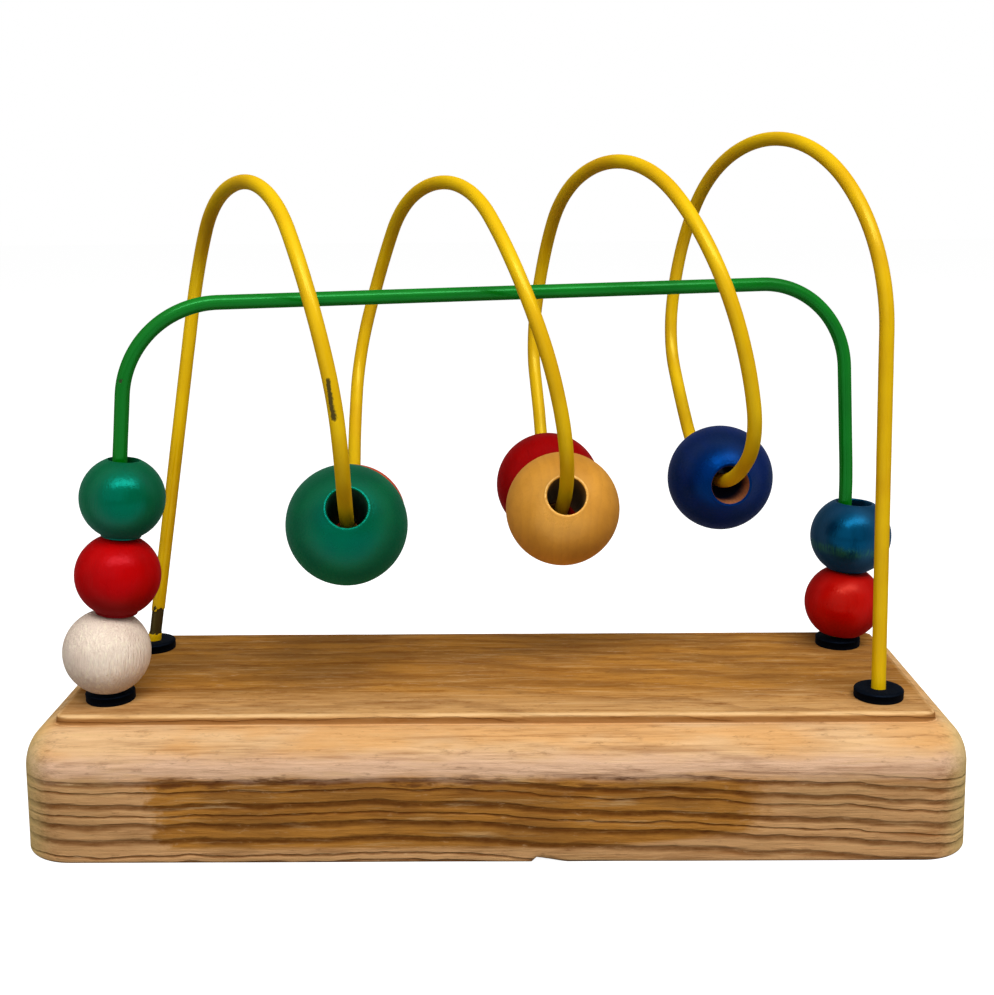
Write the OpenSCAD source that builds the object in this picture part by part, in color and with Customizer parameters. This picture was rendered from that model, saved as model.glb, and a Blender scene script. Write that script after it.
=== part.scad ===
/* [Plank] */
// Length of the plank
base_l = 280.6; // [265:0.2:320]
// Depth of the plank, front to back
base_w = 102; // [90:1:140]
// Thickness of the plank
base_h = 40.8; // [32:0.2:60]
// Radius of the plank's upright corners
corner_r = 16; // [14:0.5:30]
// Radius of the rounded top edge
edge_r = 12.2; // [6:0.2:13.4]
// Height of the raised panel above the rounded edge
step_h = 2.8; // [1:0.1:5]
// Width of the rounded edge outside the raised panel, at the plank's ends
end_ledge = 9.8; // [8:0.1:12]
// Radius of the raised panel's corners
panel_r = 3.8; // [2:0.1:8]
// Bevel round the bottom edge
bottom_bevel = 1; // [0.4:0.1:3]

/* [Wire sockets] */
// Distance of the sockets from the plank's ends
foot_inset_l = 24.3; // [20:0.1:34]
// Distance of the sockets from the plank's long sides
foot_inset_w = 26.5; // [20:0.5:34]
// Depth of the drilled sockets
socket_depth = 26; // [15:1:28]
// Clearance of a wire in its socket, on the diameter
socket_gap = 0.2; // [0.1:0.05:0.6]

/* [Wires] */
// Diameter of both wires with their coating
wire_d = 4.4; // [3.6:0.1:5.2]
// Inside bend radius of the green arch, at the middle of the wire
arch_bend_r = 29; // [20:1:34]
// Height of the green bar's left end above the plank
arch_left_h = 118.8; // [110:0.1:126]
// Height of the green bar's right end above the plank
arch_right_h = 121.4; // [110:0.1:126]

/* [Washers] */
// Diameter of the black washers
washer_d = 14.7; // [12:0.1:20]
// Height of the black washers
washer_h = 3.1; // [2:0.1:6]
// Radius of a washer's rounded upper rim
washer_rim_r = 0.8; // [0.3:0.1:1.2]
// Clearance of a wire in its washer, on the diameter
washer_gap = 0.5; // [0.3:0.05:1.2]

/* [Small beads] */
// Diameter of the white bead
white_bead_d = 26; // [24:0.1:28]
// Diameter of the red bead of the left stack
left_red_bead_d = 25.3; // [24:0.1:28]
// Diameter of the green bead of the left stack
left_green_bead_d = 25; // [24:0.1:28]
// Diameter of the red bead of the right stack
right_red_bead_d = 25.4; // [24:0.1:28]
// Diameter of the blue bead of the right stack
right_blue_bead_d = 26.3; // [24:0.1:28]
// Bore of the small beads
small_bore_d = 9.2; // [8.8:0.1:9.4]
// Wider bore of the blue bead in the right stack
blue_bore_d = 11.4; // [11:0.1:12]
// Diameter of the flat rims of the white bead
white_rim_d = 11.6; // [10.2:0.1:14]
// Diameter of the flat rims of the red and green beads in the left stack
left_rim_d = 9.6; // [9.5:0.1:14]
// Diameter of the flat rims of the red bead in the right stack
right_rim_d = 13.2; // [10.2:0.1:14]
// Diameter of the flat rims of the blue bead in the right stack
blue_rim_d = 13.2; // [12.1:0.1:15]

/* [Large beads] */
// Diameter of the green front bead of the first dip
front_green_bead_d = 36.3; // [32:0.1:37]
// Diameter of the orange rear bead of the first dip
rear_orange_bead_d = 33.8; // [32:0.1:37]
// Diameter of the natural front bead of the second dip
front_natural_bead_d = 35.5; // [32:0.1:37]
// Diameter of the red rear bead of the second dip
rear_red_bead_d = 34.7; // [32:0.1:37]
// Diameter of the blue bead of the third dip
dip_blue_bead_d = 33.4; // [32:0.1:37]
// Bore of the large beads
large_bore_d = 11.7; // [11.5:0.1:13]
// Diameter of the flat rim round a large bead's bore
large_rim_d = 13.2; // [13.1:0.1:15]
// Gap between pieces that rest on each other
rest_gap = 0.3; // [0.2:0.05:0.5]

/* [Hidden] */
$fn = 64;

foot_x = base_l / 2 - foot_inset_l;
foot_y = base_w / 2 - foot_inset_w;
wire_r = wire_d / 2;

// Each socket's own offset from its even place
green_left_off = [-1, 0.5];
green_right_off = [-0.4, 0.3];
yellow_left_off = [-0.2, -0.5];
yellow_right_off = [0, -0.5];

// Lean of each leg: how far its top stands from its socket, and how high that top is
// above the plank. The wires are bent by hand, and no leg is quite upright.
green_left_lean = [12, 1];
green_right_lean = [0.2, 0, 38];
yellow_left_lean = [17.2, 8, 110.5];
yellow_right_lean = [-3.3, 0.8, 110];
// The green arch's right leg is bent again above its beads: its straight upper part from
// here up to the corner
green_right_bend = [-0.1, 0, 62];
green_right_corner = [-4.1, -0.6];

// Bend points of the yellow wire, from the middle of the plank's top: over a hump, down
// the front, through a dip and up at the back, three times, and over a last hump
hump_1 = [-75, -3.5, 153];
front_1 = [-44.5, -48, 103.5];
rear_1 = [-44, 64.5, 109];
hump_2 = [-19.5, 27, 152.5];
front_2 = [13.5, -24, 111];
rear_2 = [14.5, 68, 109.5];
hump_3 = [31.8, 28.5, 157.4];
front_3 = [70, -29.5, 110.5];
rear_3 = [63, 72, 109.5];
hump_4 = [83.5, 31, 165];

// Dips: lowest point of the wire's middle, bend radius, turn of the dip about the vertical,
// and how far the true arc reaches from the lowest point, in degrees, front and back
dip_1 = [[-45, 0.8, 47.4], 53, 4.2, [-56, 42]];
dip_2 = [[19, 15, 48.6], 38.5, 5.3, [-47, 56]];
dip_3 = [[70.7, 14.5, 59.8], 49.5, 8.5, [-40, 42]];
// Angle of the middle of each dip's beads from the lowest point, minus towards the front
dip_1_beads_a = -6.2;
dip_2_beads_a = 1.5;
dip_3_beads_a = -2.5;

// How far a bead's bore stands off its wire, to the right and to the back
white_off = [-1.4, -1.2];
left_red_off = [0.7, 0];
left_green_off = [1.2, 0];
right_red_off = [1.1, 0];
right_blue_off = [2.4, 0];
// Lean of the right stack's beads from their leg, to the right
right_red_tilt = 6;
right_blue_tilt = 3;
// The same for the dips' front and rear beads, to the right only
dip_1_off = [-0.4, 0.2];
dip_2_off = [0.7, 0.6];
dip_3_off = 1.2;
// How far the bore of each dip's front bead is turned from its wire, about the vertical
dip_1_turn = 3.5;
dip_2_turn = -3;
dip_3_turn = -5;
// How far the bore of the first dip's front bead leans from its wire, minus with its front up
dip_1_lean = -4;

// Sides of the bent stretches, and the turn from one ring to the next
tube_sides = 12;
ring_turn = 9;
// The bent stretch starts this far inside the round leg, a little thinner than it
tube_overlap = 2;
tube_scale = 0.985;

function unit(v) = v / norm(v);
function flat_dir(a) = [-sin(a), cos(a), 0];
function above(p) = [p[0], p[1], base_h + p[2]];

// Feet, at the plank's top
function foot(sx, sy, off) = [sx * foot_x + off[0], sy * foot_y + off[1], base_h];
green_left_foot = foot(-1, -1, green_left_off);
green_right_foot = foot(1, 1, green_right_off);
yellow_left_foot = foot(-1, 1, yellow_left_off);
yellow_right_foot = foot(1, -1, yellow_right_off);

// Corners of the green arch, where the middles of its straights would meet
arch_left = green_left_foot + [green_left_lean[0], green_left_lean[1], arch_left_h];
arch_right = green_right_foot + [green_right_corner[0], green_right_corner[1], arch_right_h];
green_left_dir = unit(arch_left - green_left_foot);
green_right_top = green_right_foot + green_right_lean;
green_right_dir = unit(green_right_top - green_right_foot);
green_upper = green_right_foot + green_right_bend;
green_upper_dir = unit(arch_right - green_upper);
arch_dir = unit(arch_right - arch_left);
// Distance from a corner to where its bend begins
function bend_reach(a, b) = arch_bend_r * tan(acos(a * b) / 2);
left_reach = bend_reach(green_left_dir, arch_dir);
right_reach = bend_reach(arch_dir, -green_upper_dir);

yellow_left_top = yellow_left_foot + yellow_left_lean;
yellow_right_top = yellow_right_foot + yellow_right_lean;
yellow_left_dir = unit(yellow_left_top - yellow_left_foot);
yellow_right_dir = unit(yellow_right_top - yellow_right_foot);

// A dip's point and direction at an angle from its lowest point
function dip_centre(d) = above(d[0]) + [0, 0, d[1]];
function dip_point(d, a, r) = dip_centre(d) + r * (sin(a) * flat_dir(d[2]) - [0, 0, cos(a)]);
function dip_dir(d, a) = cos(a) * flat_dir(d[2]) + [0, 0, sin(a)];
function dip_ends(d) = [for (a = d[3]) [dip_point(d, a, d[1]), dip_dir(d, a)]];
function free(p) = [above(p), undef];

// Bend nodes: a point and its direction, or undef where the neighbours set the direction
green_nodes = [
  [arch_left - left_reach * green_left_dir, green_left_dir],
  [arch_left + left_reach * arch_dir, arch_dir],
  [arch_right - right_reach * arch_dir, arch_dir],
  [arch_right - right_reach * green_upper_dir, -green_upper_dir],
  [green_upper, -green_upper_dir],
  [green_right_top, -green_right_dir]
];
yellow_nodes = concat(
  [[yellow_left_top, yellow_left_dir], free(hump_1), free(front_1)], dip_ends(dip_1),
  [free(rear_1), free(hump_2), free(front_2)], dip_ends(dip_2),
  [free(rear_2), free(hump_3), free(front_3)], dip_ends(dip_3),
  [free(rear_3), free(hump_4), [yellow_right_top, -yellow_right_dir]]
);

// A free node's direction is that of the circle through it and both its neighbours
function node_dir(n, i) =
  is_undef(n[i][1])
  ? let (a = n[i][0] - n[i - 1][0], b = n[i + 1][0] - n[i][0]) unit(a / (a * a) + b / (b * b))
  : n[i][1];

// The arc that leaves a along t and ends at b: centre, two axes, radius and angle
function arc(a, t, b) =
  let (c = b - a, n = unit(c - (c * t) * t), r = (c * c) / (2 * (c * n)))
  [a + r * n, -n, t, r, 2 * atan2(c * n, c * t)];
// Two arcs that join a to b with the directions ta and tb and meet without a kink
function arc_pair(a, ta, b, tb) =
  let (
    v = b - a,
    t = ta + tb,
    k = 2 * (1 - ta * tb),
    d = (sqrt((v * t) * (v * t) + k * (v * v)) - v * t) / k,
    p = a + d * ta,
    q = b - d * tb
  )
  [arc(a, ta, (p + q) / 2), arc((p + q) / 2, unit(q - p), b)];
function straight(a, ta, tb) = ta * tb > 0.999999;
// Rings of one arc, as points and directions, without its last one
function arc_rings(c) =
  let (n = max(1, ceil(c[4] / ring_turn)))
  [for (i = [0:n - 1]) let (s = c[4] * i / n)
    [c[0] + c[3] * (cos(s) * c[1] + sin(s) * c[2]), cos(s) * c[2] - sin(s) * c[1]]];
function span_rings(a, ta, b, tb) =
  straight(a, ta, tb) ? [[a, ta]] : [for (c = arc_pair(a, ta, b, tb)) each arc_rings(c)];
function wire_rings(n) =
  let (last = len(n) - 1)
  concat(
    [[n[0][0] - tube_overlap * n[0][1], n[0][1]]],
    [for (i = [0:last - 1]) each span_rings(n[i][0], node_dir(n, i), n[i + 1][0], node_dir(n, i + 1))],
    [[n[last][0], n[last][1]], [n[last][0] + tube_overlap * n[last][1], n[last][1]]]
  );

// A tube through the rings. Its sides start from the side vector, which no ring points along.
module tube(rings, side) {
  n = len(rings);
  m = tube_sides;
  points = [
    for (g = rings)
      let (u = unit(cross(g[1], side)), v = cross(g[1], u))
        for (k = [0:m - 1]) g[0] + wire_r * tube_scale * (cos(360 * k / m) * u + sin(360 * k / m) * v)
  ];
  walls = [
    for (i = [0:n - 2], k = [0:m - 1])
      let (a = i * m + k, b = i * m + (k + 1) % m)
        each [[a, a + m, b], [b, a + m, b + m]]
  ];
  first = [for (k = [0:m - 1]) k];
  end = [for (k = [m - 1:-1:0]) (n - 1) * m + k];
  polyhedron(points, concat([first], walls, [end]));
}

// Turns what stands along z so that it stands at p along a direction
module stand(p, dir) {
  translate(p)
    rotate([0, acos(dir[2]), atan2(dir[1], dir[0])])
      children();
}

// A round leg from the bottom of its socket to just below where its bend begins
module leg(foot, dir, top) {
  below = socket_depth - rest_gap;
  stand(foot - below * dir, dir)
    cylinder(d = wire_d, h = norm(top - foot) + below - tube_overlap / 2);
}

// Upright section of the plank's edge, from its inner side at zero outwards
module edge_section() {
  rise = base_h - step_h - edge_r;
  square([corner_r - edge_r, base_h - step_h]);
  polygon([
    [0, 0], [corner_r - bottom_bevel, 0], [corner_r, bottom_bevel],
    [corner_r, rise], [0, rise]
  ]);
  translate([corner_r - edge_r, rise])
    intersection() {
      circle(r = edge_r);
      square(edge_r);
    }
}

// Raised panel, from just inside the plank up to its top
module panel() {
  x = base_l / 2 - end_ledge - panel_r;
  y = base_w / 2 - edge_r - panel_r;
  h = step_h + 1;
  translate([0, 0, base_h - h]) {
    for (s = [[x + panel_r, y], [x, y + panel_r]])
      translate([-s[0], -s[1], 0])
        cube([2 * s[0], 2 * s[1], h]);
    for (c = [[x, y], [-x, y], [-x, -y], [x, -y]])
      translate([c[0], c[1], 0])
        cylinder(r = panel_r, h = h);
  }
}

module plank() {
  x = base_l / 2 - corner_r;
  y = base_w / 2 - corner_r;
  panel();
  translate([-x, -y, 0])
    cube([2 * x, 2 * y, base_h - step_h]);
  for (c = [[x, y, 0], [-x, y, 90], [-x, -y, 180], [x, -y, 270]])
    translate([c[0], c[1], 0])
      rotate([0, 0, c[2]])
        rotate_extrude(angle = 90)
          edge_section();
  for (s = [[x, y, 0, y], [-x, y, 90, x], [-x, -y, 180, y], [x, -y, 270, x]])
    translate([s[0], s[1], 0])
      rotate([0, 0, s[2]])
        rotate([90, 0, 0])
          linear_extrude(2 * s[3])
            edge_section();
}

// Drilled socket for one leg
module socket(foot, dir) {
  stand(foot - socket_depth * dir, dir)
    rotate([0, 0, 45])
      cylinder(d = wire_d + socket_gap, h = socket_depth + 2);
}

module base() {
  color("#b98a55")
    difference() {
      plank();
      socket(green_left_foot, green_left_dir);
      socket(green_right_foot, green_right_dir);
      socket(yellow_left_foot, yellow_left_dir);
      socket(yellow_right_foot, yellow_right_dir);
    }
}

module green_wire() {
  color("#0a7a33") {
    leg(green_left_foot, green_left_dir, green_nodes[0][0]);
    leg(green_right_foot, green_right_dir, green_right_top);
    tube(wire_rings(green_nodes), [0, 1, 0]);
  }
}

module yellow_wire() {
  color("#f2c81e") {
    leg(yellow_left_foot, yellow_left_dir, yellow_left_top);
    leg(yellow_right_foot, yellow_right_dir, yellow_right_top);
    tube(wire_rings(yellow_nodes), [1, 0, 0]);
  }
}

// Black washer on the plank round one leg
module washer(foot, dir) {
  r = washer_d / 2;
  color("#15161a")
    difference() {
      translate([foot[0], foot[1], base_h])
        rotate_extrude() {
          square([r - washer_rim_r, washer_h]);
          square([r, washer_h - washer_rim_r]);
          translate([r - washer_rim_r, washer_h - washer_rim_r])
            circle(r = washer_rim_r);
        }
      stand(foot - dir, dir)
        rotate([0, 0, 45])
          cylinder(d = wire_d + washer_gap, h = washer_h + 3);
    }
}

// Half length of a bead between its flat rims
function bead_half(d, rim) = sqrt(d * d - rim * rim) / 2;
function large_half(d) = bead_half(d, large_rim_d);

// Turned wooden bead with a straight bore along z and a flat rim at each end
module bead(d, bore, half, tint) {
  color(tint)
    difference() {
      intersection() {
        sphere(d = d);
        cylinder(d = d + 2, h = 2 * half, center = true);
      }
      cylinder(d = bore, h = d + 2, center = true);
    }
}

white_half = bead_half(white_bead_d, white_rim_d);
left_red_half = bead_half(left_red_bead_d, left_rim_d);
left_green_half = bead_half(left_green_bead_d, left_rim_d);
right_red_half = bead_half(right_red_bead_d, right_rim_d);
right_blue_half = bead_half(right_blue_bead_d, blue_rim_d);

// Directions of the beads' bores
function tilted(dir, a) = unit(dir + [tan(a), 0, 0]);
right_red_dir = tilted(green_right_dir, right_red_tilt);
right_blue_dir = tilted(green_right_dir, right_blue_tilt);

// Distance up a leg at which a bead's middle stands, with its lower rim just on the washer
function first_reach(half, rim, bore_dir, dir) =
  (washer_h + rest_gap + half * bore_dir[2] + rim / 2 * sqrt(1 - bore_dir[2] * bore_dir[2])) / dir[2];
// Distance from a bead's middle to that of the bead below, whose bore leans differently
function next_reach(half, low_half, rim, lean) = half + low_half + rest_gap + rim / 2 * sin(abs(lean));

left_reach_1 = first_reach(white_half, white_rim_d, green_left_dir, green_left_dir);
left_reach_2 = left_reach_1 + next_reach(left_red_half, white_half, left_rim_d, 0);
left_reach_3 = left_reach_2 + next_reach(left_green_half, left_red_half, left_rim_d, 0);
right_reach_1 = first_reach(right_red_half, right_rim_d, right_red_dir, green_right_dir);
right_reach_2 = right_reach_1
  + next_reach(right_blue_half, right_red_half, blue_rim_d, right_red_tilt - right_blue_tilt);

module left_bead(reach, d, half, off, tint) {
  stand(green_left_foot + reach * green_left_dir + [off[0], off[1], 0], green_left_dir)
    bead(d, small_bore_d, half, tint);
}

module right_bead(reach, d, bore, half, off, dir, tint) {
  stand(green_right_foot + reach * green_right_dir + [off[0], off[1], 0], dir)
    bead(d, bore, half, tint);
}

// A bead in a dip hangs with the upper side of its bore just on the wire at both mouths, so
// its middle runs on a slightly larger or smaller circle than the wire's. The wire stands off
// the middle of a mouth to the side where the bead stands off its wire or is turned from it,
// and a bead that leans hangs higher.
function hang(d, r, off, turn, lean) =
  let (
    half = large_half(d),
    slope = asin(half / r),
    play = large_bore_d / 2 - wire_d / 2 / cos(slope) - rest_gap,
    side = abs(off) + half * sin(abs(turn))
  )
  sqrt(play * play - side * side) - half * sin(abs(lean)) - r * (1 - cos(slope));
function run_r(dip, d, off, turn, lean) = dip[1] + hang(d, dip[1], off, turn, lean);
// Turn between two beads that touch in a dip
function pair_turn(a, b, ra, rb) = 2 * asin(((a + b) / 2 + rest_gap) / (ra + rb));

green_run_r = run_r(dip_1, front_green_bead_d, dip_1_off[0], dip_1_turn, dip_1_lean);
orange_run_r = run_r(dip_1, rear_orange_bead_d, dip_1_off[1], 0, 0);
natural_run_r = run_r(dip_2, front_natural_bead_d, dip_2_off[0], dip_2_turn, 0);
red_run_r = run_r(dip_2, rear_red_bead_d, dip_2_off[1], 0, 0);
blue_run_r = run_r(dip_3, dip_blue_bead_d, dip_3_off, dip_3_turn, 0);
dip_1_pair = pair_turn(front_green_bead_d, rear_orange_bead_d, green_run_r, orange_run_r);
dip_2_pair = pair_turn(front_natural_bead_d, rear_red_bead_d, natural_run_r, red_run_r);

module dip_bead(dip, a, r, d, off, turn, lean, tint) {
  across = [cos(dip[2]), sin(dip[2]), 0];
  bore_dir = cos(a + lean) * flat_dir(dip[2] + turn) + [0, 0, sin(a + lean)];
  stand(dip_point(dip, a, r) + off * across, bore_dir)
    bead(d, large_bore_d, large_half(d), tint);
}

module washer_front_left() { washer(green_left_foot, green_left_dir); }
module washer_back_left() { washer(yellow_left_foot, yellow_left_dir); }
module washer_front_right() { washer(yellow_right_foot, yellow_right_dir); }
module washer_back_right() { washer(green_right_foot, green_right_dir); }
module bead_left_white() { left_bead(left_reach_1, white_bead_d, white_half, white_off, "#e6dccf"); }
module bead_left_red() {
  left_bead(left_reach_2, left_red_bead_d, left_red_half, left_red_off, "#b3141c");
}
module bead_left_green() {
  left_bead(left_reach_3, left_green_bead_d, left_green_half, left_green_off, "#0f6e4c");
}
module bead_right_red() {
  right_bead(
    right_reach_1, right_red_bead_d, small_bore_d, right_red_half,
    right_red_off, right_red_dir, "#c8301a"
  );
}
module bead_right_blue() {
  right_bead(
    right_reach_2, right_blue_bead_d, blue_bore_d, right_blue_half,
    right_blue_off, right_blue_dir, "#12406e"
  );
}
module bead_dip1_green() {
  dip_bead(
    dip_1, dip_1_beads_a - dip_1_pair / 2, green_run_r, front_green_bead_d,
    dip_1_off[0], dip_1_turn, dip_1_lean, "#0f6e4c"
  );
}
module bead_dip1_orange() {
  dip_bead(
    dip_1, dip_1_beads_a + dip_1_pair / 2, orange_run_r, rear_orange_bead_d,
    dip_1_off[1], 0, 0, "#cf5a33"
  );
}
module bead_dip2_natural() {
  dip_bead(
    dip_2, dip_2_beads_a - dip_2_pair / 2, natural_run_r, front_natural_bead_d,
    dip_2_off[0], dip_2_turn, 0, "#d9a050"
  );
}
module bead_dip2_red() {
  dip_bead(
    dip_2, dip_2_beads_a + dip_2_pair / 2, red_run_r, rear_red_bead_d,
    dip_2_off[1], 0, 0, "#a80d10"
  );
}
module bead_dip3_blue() {
  dip_bead(dip_3, dip_3_beads_a, blue_run_r, dip_blue_bead_d, dip_3_off, dip_3_turn, 0, "#0d2f66");
}

base();
green_wire();
yellow_wire();
washer_front_left();
washer_back_left();
washer_front_right();
washer_back_right();
bead_left_white();
bead_left_red();
bead_left_green();
bead_right_red();
bead_right_blue();
bead_dip1_green();
bead_dip1_orange();
bead_dip2_natural();
bead_dip2_red();
bead_dip3_blue();
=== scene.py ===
"""Looks of a toy abacus: ten turned beads on two bent wires over a pine plank.

Lengths are millimetres up to the point where a mesh, a lamp or the camera is made.
"""

import math

import bpy
import numpy as np
from mathutils import Matrix, Vector, noise


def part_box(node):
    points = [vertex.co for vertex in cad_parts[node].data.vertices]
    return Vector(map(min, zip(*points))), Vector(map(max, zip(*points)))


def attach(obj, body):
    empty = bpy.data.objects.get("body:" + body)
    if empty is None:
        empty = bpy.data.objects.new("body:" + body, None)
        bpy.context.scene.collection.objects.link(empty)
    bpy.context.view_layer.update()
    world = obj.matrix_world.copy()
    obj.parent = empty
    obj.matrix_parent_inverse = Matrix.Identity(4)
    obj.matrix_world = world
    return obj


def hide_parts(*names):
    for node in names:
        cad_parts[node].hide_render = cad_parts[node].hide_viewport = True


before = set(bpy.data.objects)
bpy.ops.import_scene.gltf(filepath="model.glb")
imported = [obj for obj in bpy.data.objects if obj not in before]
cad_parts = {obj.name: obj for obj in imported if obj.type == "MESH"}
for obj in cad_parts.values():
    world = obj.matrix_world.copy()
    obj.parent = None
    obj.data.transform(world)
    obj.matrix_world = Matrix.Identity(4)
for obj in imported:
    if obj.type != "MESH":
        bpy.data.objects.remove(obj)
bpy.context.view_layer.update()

MM = 0.001

# The photograph's camera
IMAGE_W, IMAGE_H = 994, 995
FOCAL_PX = 1345.42
SENSOR_MM = 36
CAMERA_AT = Vector((3.695, -410.4, 188.12))
CAMERA_YAW, CAMERA_PITCH, CAMERA_ROLL = 0.007, 0.217, -0.007


def camera_axes():
    """Right, up and forward of the camera."""
    turn = Matrix.Rotation(CAMERA_YAW, 3, "Z")
    right = turn @ Vector((1, 0, 0))
    forward = turn @ Vector((0, math.cos(CAMERA_PITCH), -math.sin(CAMERA_PITCH)))
    up = turn @ Vector((0, math.sin(CAMERA_PITCH), math.cos(CAMERA_PITCH)))
    c, s = math.cos(CAMERA_ROLL), math.sin(CAMERA_ROLL)
    return c * right + s * up, c * up - s * right, forward


RIGHT, UP, FORWARD = camera_axes()


def pixel_of(point):
    """Where the photograph shows a point."""
    d = point - CAMERA_AT
    depth = d.dot(FORWARD)
    return Vector((
        IMAGE_W / 2 + FOCAL_PX * d.dot(RIGHT) / depth,
        IMAGE_H / 2 - FOCAL_PX * d.dot(UP) / depth,
    ))


def pixel_ray(pixel):
    """The way from the camera to what the photograph shows at a pixel."""
    across = RIGHT * ((pixel[0] - IMAGE_W / 2) / FOCAL_PX)
    upward = UP * ((IMAGE_H / 2 - pixel[1]) / FOCAL_PX)
    return (FORWARD + across + upward).normalized()


# Sizes that repeat the part's source
CORNER_R, EDGE_R, BOTTOM_BEVEL = 16, 12.2, 1
STEP_H, END_LEDGE = 2.8, 9.8
WASHER_R, WASHER_H = 7.35, 3.1
# How far a leg goes down into its socket
SOCKET_DEEP = 25.7
# The wires are a hair thinner than the part's, and the washers' bores closer round them
WIRE_R, WASHER_BORE_R = 2.18, 2.25

# The plank's highest corner: half its length, half its width and its height
HALF_L, HALF_W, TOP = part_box("base")[1] / MM

# The washer that each leg of a wire stands in
WASHERS = {
    "green_left": "front_left", "yellow_left": "back_left",
    "yellow_right": "front_right", "green_right": "back_right",
}


def foot(washer_place):
    """Where a leg goes into the plank: the middle of its washer, on the plank's top."""
    low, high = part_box("washer_" + washer_place)
    middle = (low + high) / 2 / MM
    return Vector((middle.x, middle.y, TOP))


FEET = {leg: foot(washer_place) for leg, washer_place in WASHERS.items()}
# How far each leg's top, or the arch's corner, stands from its foot
LEANS = {
    "green_left": Vector((12, 1, 118.8)),
    "green_right": Vector((0.2, 0, 38)),
    "yellow_left": Vector((17.2, 8, 110.5)),
    "yellow_right": Vector((-3.3, 0.8, 110)),
}
GREEN_RIGHT_BEND = Vector((-0.1, 0, 62))
GREEN_RIGHT_CORNER = Vector((-4.1, -0.6, 121.4))
ARCH_BEND_R = 29

# Bend points of the yellow wire, from the middle of the plank's top
HUMP_1, FRONT_1, REAR_1 = (-75, -3.5, 153), (-44.5, -48, 103.5), (-44, 64.5, 109)
HUMP_2, FRONT_2, REAR_2 = (-19.5, 27, 152.5), (13.5, -24, 111), (14.5, 68, 109.5)
HUMP_3, FRONT_3, REAR_3 = (31.8, 28.5, 157.4), (70, -29.5, 110.5), (63, 72, 109.5)
HUMP_4 = (83.5, 31, 165)
# Dips: lowest point, bend radius, heading and reach of the true arc, front and back
DIP_1 = ((-45, 0.8, 47.4), 53, 4.2, (-56, 42))
DIP_2 = ((19, 15, 48.6), 38.5, 5.3, (-47, 56))
DIP_3 = ((70.7, 14.5, 59.8), 49.5, 8.5, (-40, 42))

# Mesh detail: sides of what is round, the wires' turn and length from ring to ring, the
# finer length along the leg that has lost some of its coat, and the plank's edge lengths
WIRE_SIDES, LATHE_SIDES = 28, 96
WIRE_TURN = math.radians(2.5)
LEG_STEP, BARE_LEG_STEP = 6, 0.5
PLANK_STEP = 1.5


def srgb(r, g, b):
    """A colour as it is seen, 0 to 255, as Blender's linear values."""
    def linear(c):
        c = c / 255
        return c / 12.92 if c <= 0.04045 else ((c + 0.055) / 1.055) ** 2.4
    return (linear(r), linear(g), linear(b), 1)


# Materials
# A surface goes matt where it turns away: up to this facing, and by this much roughness
RIM_FACING, RIM_ROUGHNESS = 0.5, 0.65


class Nodes:
    """The node tree of a material or a world, and short calls that fill it."""

    def __init__(self, owner):
        owner.use_nodes = True
        self.tree = owner.node_tree
        self.tree.nodes.clear()

    def node(self, kind, inputs=(), **settings):
        """A node, its inputs by name or number: a socket is linked and a plain value is set."""
        made = self.tree.nodes.new(kind)
        for key, value in settings.items():
            setattr(made, key, value)
        for key, value in dict(inputs).items():
            if isinstance(value, bpy.types.NodeSocket):
                self.tree.links.new(value, made.inputs[key])
            elif value is not None:
                made.inputs[key].default_value = value
        return made

    def math(self, operation, a, b=None, clamp=False):
        made = self.node("ShaderNodeMath", {0: a, 1: b}, operation=operation, use_clamp=clamp)
        return made.outputs[0]

    def seen_or_plain(self, seen, plain):
        """One shader for the camera, reflections and glass, another for light on surfaces."""
        path = self.node("ShaderNodeLightPath").outputs
        share = self.math("MAXIMUM", path["Is Camera Ray"], path["Is Glossy Ray"])
        share = self.math("MAXIMUM", share, path["Is Transmission Ray"])
        mix = {0: share, 1: plain.outputs[0], 2: seen.outputs[0]}
        return self.node("ShaderNodeMixShader", mix).outputs[0]


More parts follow.
